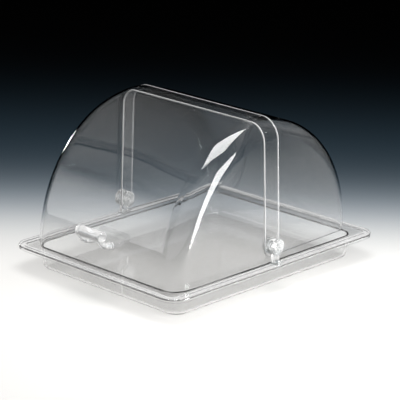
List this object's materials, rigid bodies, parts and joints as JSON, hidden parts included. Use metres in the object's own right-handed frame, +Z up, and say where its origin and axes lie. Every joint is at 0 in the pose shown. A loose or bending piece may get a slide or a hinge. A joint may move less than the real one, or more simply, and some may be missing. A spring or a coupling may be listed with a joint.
{
  "type": "covered display container",
  "caption": "Clear counter-top tray for showing food, under nesting quarter-round hoods that roll back on side pivots, the front hood with a grip bar.",
  "frame": {"origin": "centre of the tray's underside, on the surface it stands on, midway between the pivots", "axes": "+Z up, +X towards the rear lid, -X towards the handle, Y along the pivot axis"},
  "size_m": [0.4551, 0.36, 0.26],
  "materials": {
    "clear_tray": "clear moulded plastic, polished",
    "clear_lid": "clear moulded plastic, polished",
    "clear_handle": "clear moulded plastic, polished",
    "clear_fitting": "clear moulded plastic, slightly frosted",
    "screw_steel": "bright stainless steel"
  },
  "bodies": {
    "base": {"tray": "clear_tray", "bracket_screws": "screw_steel", "pivot_bracket_right": "clear_fitting", "pivot_bolt_right": "clear_fitting", "pivot_knob_right": "clear_fitting", "pivot_cap_right": "clear_fitting", "lid_spacer_right": "clear_fitting", "bracket_spacer_right": "clear_fitting", "pivot_bracket_left": "clear_fitting", "pivot_bolt_left": "clear_fitting", "pivot_knob_left": "clear_fitting", "pivot_cap_left": "clear_fitting", "lid_spacer_left": "clear_fitting", "bracket_spacer_left": "clear_fitting"},
    "front_lid": {"front_lid": "clear_lid", "handle": "clear_handle", "handle_screws": "screw_steel", "handle_washers": "clear_fitting"},
    "rear_lid": {"rear_lid": "clear_lid"}
  },
  "joints": [
    {"name": "front_lid_hinge", "type": "hinge", "parent": "base", "child": "front_lid", "pos_m": [0, 0, 0.0665], "axis": [0, 1, 0], "range_deg": [0, 90]},
    {"name": "rear_lid_hinge", "type": "hinge", "parent": "base", "child": "rear_lid", "pos_m": [0, 0, 0.0665], "axis": [0, 1, 0], "range_deg": [-90, 0]}
  ]
}
